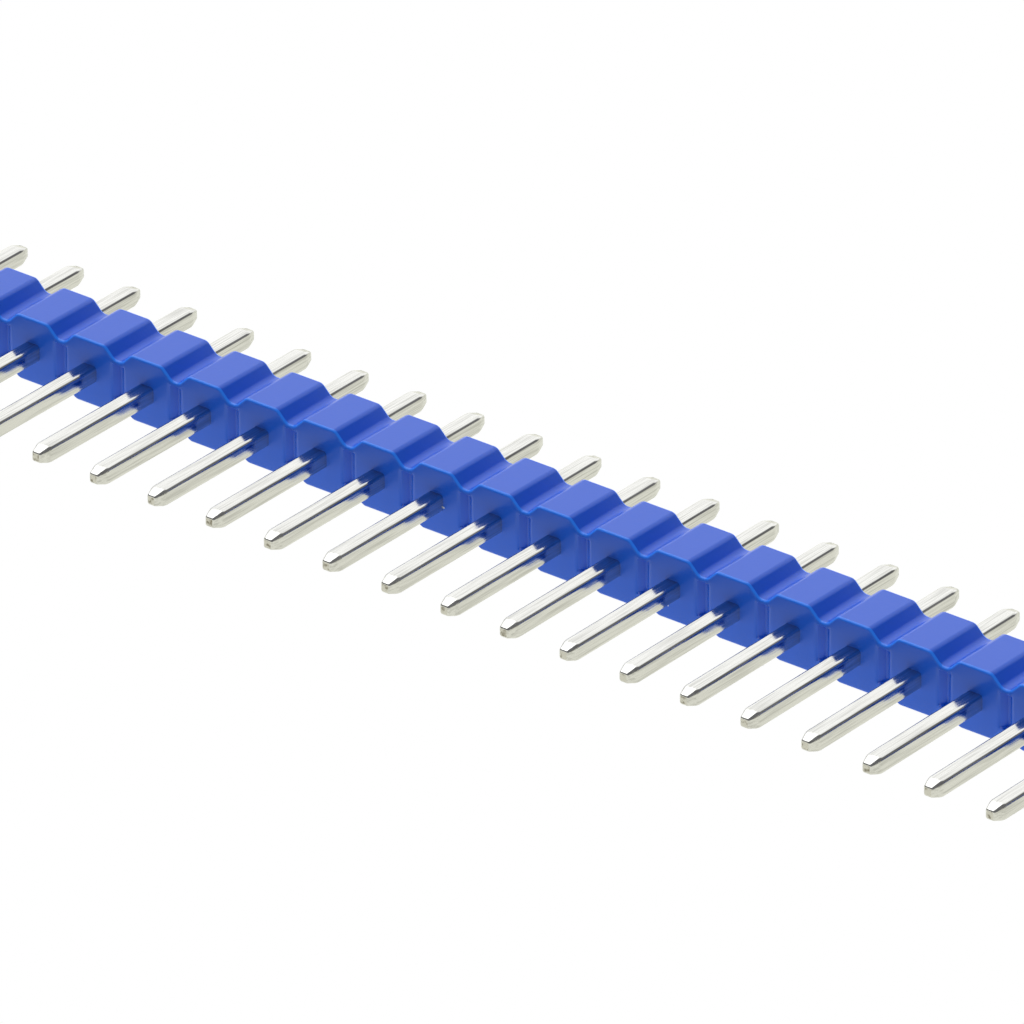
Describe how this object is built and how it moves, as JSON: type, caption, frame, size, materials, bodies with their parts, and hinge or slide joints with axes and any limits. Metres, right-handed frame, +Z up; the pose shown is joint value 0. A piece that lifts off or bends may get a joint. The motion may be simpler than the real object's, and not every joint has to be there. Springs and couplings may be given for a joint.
{
  "type": "pin header strip",
  "caption": "Single-row break-away pin header strip: square tinned pins pressed through a notched blue insulator, long mating ends one side and short solder tails the other.",
  "frame": {"origin": "middle of the bounding box, on the surface the strip lies on", "axes": "+X along the row, +Y along the pins from the long mating ends to the solder tails, +Z up from the insulator side it lies on"},
  "size_m": [0.1016, 0.0114, 0.0025],
  "materials": {
    "insulator": "satin, moulded",
    "pins": "bright tin plating over brass"
  },
  "bodies": {
    "root": {"insulator_strip": "insulator", "pin_01": "pins", "pin_02": "pins", "pin_03": "pins", "pin_04": "pins", "pin_05": "pins", "pin_06": "pins", "pin_07": "pins", "pin_08": "pins", "pin_09": "pins", "pin_10": "pins", "pin_11": "pins", "pin_12": "pins", "pin_13": "pins", "pin_14": "pins", "pin_15": "pins", "pin_16": "pins", "pin_17": "pins", "pin_18": "pins", "pin_19": "pins", "pin_20": "pins", "pin_21": "pins", "pin_22": "pins", "pin_23": "pins", "pin_24": "pins", "pin_25": "pins", "pin_26": "pins", "pin_27": "pins", "pin_28": "pins", "pin_29": "pins", "pin_30": "pins", "pin_31": "pins", "pin_32": "pins", "pin_33": "pins", "pin_34": "pins", "pin_35": "pins", "pin_36": "pins", "pin_37": "pins", "pin_38": "pins", "pin_39": "pins", "pin_40": "pins"}
  },
  "joints": []
}
